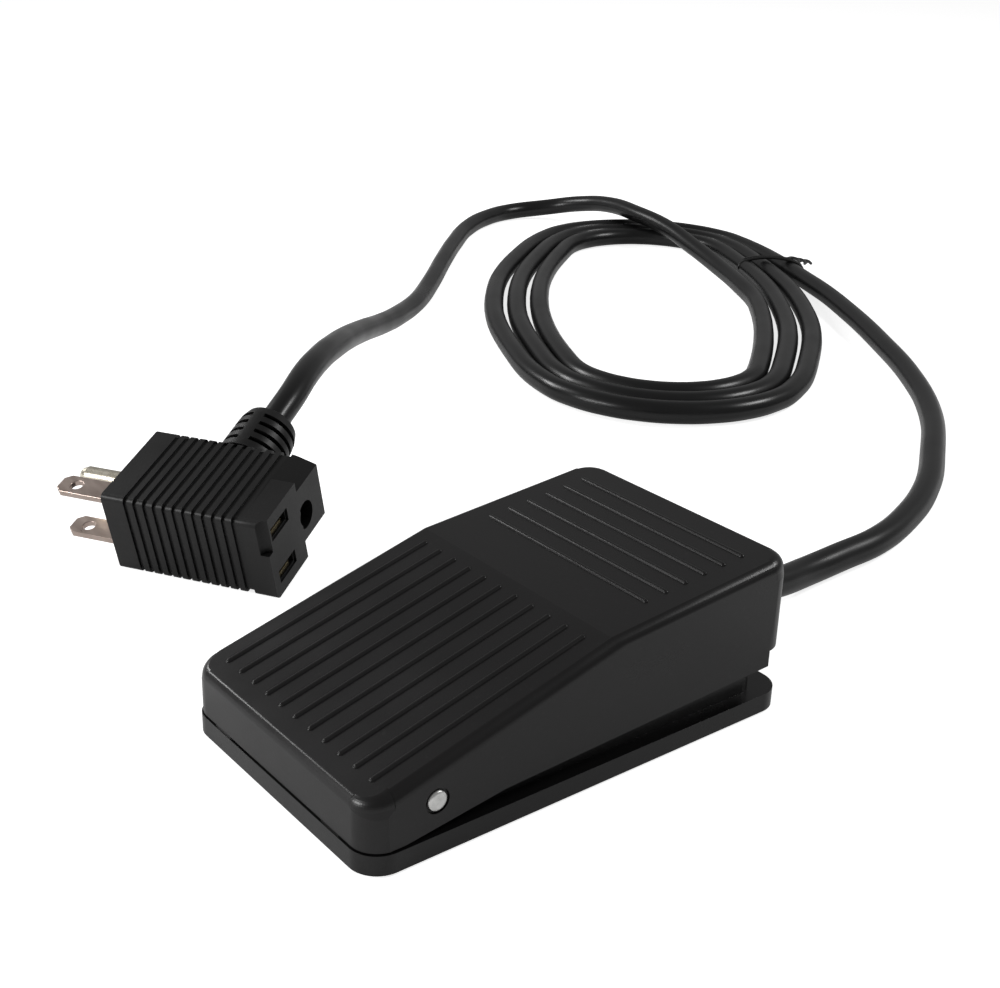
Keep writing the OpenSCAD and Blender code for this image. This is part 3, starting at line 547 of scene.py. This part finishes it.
# ---- Cord tie ----
# A thin plastic-coated wire that holds the coil for storage. It is wound twice round the
# turns at their far side, and its two ends are twisted shut.
TIE_D = 1.3*MM
LOOPS = ((1.6, 58), (-1.2, 62.5))   # how far each leans, and its place along the coil
LOOP_V, LOOP_Z = -53, 4.9           # their middle, across the coil and up
LOOP_WIDE, LOOP_TALL = 13.4, 4.2
TWIST_FROM = (61, -61, 8.6)         # along and across the coil, and up
TWIST_STEP = (2.2, -1.6, -0.75)
TWIST_TURN = math.radians(80)
TWIST_WIDE, TWIST_TALL = 1.1, 0.7
tie_line = bpy.data.curves.new("cord_tie_wire", "CURVE")
tie_line.dimensions = "3D"
tie_line.bevel_depth = TIE_D/2
tie_line.bevel_resolution = 3
tie_line.use_fill_caps = True


def tie_strand(points, closed):
    strand = tie_line.splines.new("BEZIER")
    strand.bezier_points.add(len(points) - 1)
    strand.use_cyclic_u = closed
    for knot, (u, v, z) in zip(strand.bezier_points, points):
        knot.co = (COIL_AT + COIL_LONG*u + COIL_SHORT*v + Vector((0, 0, z - COIL_AT.z)))*MM
        knot.handle_left_type = knot.handle_right_type = "AUTO"


for lean, start in LOOPS:
    loop_points = []
    for degrees in range(0, 360, 20):
        sine, cosine = math.sin(math.radians(degrees)), math.cos(math.radians(degrees))
        loop_points.append((start + lean*sine, LOOP_V + LOOP_WIDE*cosine,
            LOOP_Z + LOOP_TALL*sine))
    tie_strand(loop_points, True)
for phase in (0, math.pi):
    twist_points = []
    for k in range(8):
        turn = TWIST_TURN*k + phase
        u, v, z = [begin + k*step for begin, step in zip(TWIST_FROM, TWIST_STEP)]
        twist_points.append((u, v + TWIST_WIDE*math.cos(turn), z + TWIST_TALL*math.sin(turn)))
    tie_strand(twist_points, False)
cord_tie = bpy.data.objects.new("cord_tie_wire", tie_line)
scene.collection.objects.link(cord_tie)
tie_line.materials.append(moulded("tie_wire_pvc", (0.006, 0.006, 0.006), (0.01, 0.01, 0.01),
    (0.3, 0.42)))
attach(cord_tie, "housing")
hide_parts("cord_tie")

# ---- Plug ----
# A pass-through plug, moulded in black vinyl round its contacts. The middle is ribbed for
# grip; blades stand at one face, and a socket is let into the other.
plug_skin = moulded("plug_vinyl_skin", (0.0045, 0.0043, 0.0043), (0.009, 0.0087, 0.0087),
    (0.34, 0.48), 2400, 0.4, shine=0.32)
plug = softened("plug_body", plug_skin, 0.28*MM)
PLUG_TURN = Matrix.Rotation(math.radians(32), 4, "Z")
PLUG_TILT = Matrix.Rotation(math.radians(16), 4, "X")
PLUG_PLACE = (Matrix.Translation((-106*MM, -33*MM, 0)) @ PLUG_TURN @ PLUG_TILT
    @ Matrix.Translation((0, 6.8*MM, 11.3*MM)))
SOCKET_FACE = 43*MM         # along the plug from its blades' face
BLADE_GAP = 12.7*MM
SLOT_SINK = (1.0*MM, 8.4*MM, 3.6*MM)
GROUND_OFF = 11.9*MM
GROUND_R = 3.6*MM
GROUND_FLAT = -2.1*MM
GROUND_LONG = 9*MM
plug_cutters = []
for level in (-BLADE_GAP/2, BLADE_GAP/2):
    recess = bmesh.new()
    bmesh.ops.create_cube(recess, size=1, matrix=PLUG_PLACE
        @ Matrix.Translation((SOCKET_FACE, 0, level)) @ Matrix.Diagonal((*SLOT_SINK, 1)))
    plug_cutters.append(plain_cutter("slot_recess", recess))
round_part = bmesh.new()
bmesh.ops.create_cone(round_part, cap_ends=True, segments=36, radius1=GROUND_R,
    radius2=GROUND_R, depth=GROUND_LONG)
flat = bmesh.ops.bisect_plane(round_part, geom=[*round_part.verts, *round_part.edges,
    *round_part.faces], plane_co=(0, GROUND_FLAT, 0), plane_no=(0, -1, 0), clear_outer=True)
bmesh.ops.contextual_create(round_part, geom=[g for g in flat["geom_cut"]
    if isinstance(g, bmesh.types.BMEdge)])
bmesh.ops.transform(round_part, verts=round_part.verts, matrix=PLUG_PLACE
    @ Matrix.Translation((SOCKET_FACE, GROUND_OFF, 0)) @ Matrix.Rotation(math.radians(90), 4, "Y"))
plug_cutters.append(plain_cutter("ground_recess", round_part))
cut_away(plug, plug_cutters)
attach(plug, "housing")
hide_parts("plug_body")

# ---- Plug's strain relief ----
# The cord's end sleeve, moulded in one with the plug's body and of the same vinyl. Four
# rings of slots let it bend.
plug_relief = softened("plug_boot", plug_skin, 0.25*MM)
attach(plug_relief, "housing")
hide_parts("plug_boot")

# ---- Blades, ground pin and socket contacts ----
# Two flat blades and a round ground pin of nickel-plated brass, held by the vinyl moulded
# round their roots. Brass strips behind the slots take another plug.
blade_skin = metal("blade_nickel", (0.36, 0.28, 0.24), (0.62, 0.52, 0.47), (0.22, 0.4), 500,
    (0.25, 1, 1))
blades = softened("plug_blades", blade_skin, 0.15*MM)
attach(blades, "housing")
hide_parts("plug_blades")
ground_skin = metal("ground_brass", (0.6, 0.54, 0.42), (0.86, 0.82, 0.72), (0.2, 0.36), 500)
ground_pin = softened("plug_ground_pin", ground_skin, 0)
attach(ground_pin, "housing")
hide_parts("plug_ground_pin")
dress("socket_contacts", metal("contact_brass_skin", (0.6, 0.48, 0.25), (0.8, 0.7, 0.46),
    (0.25, 0.4)))
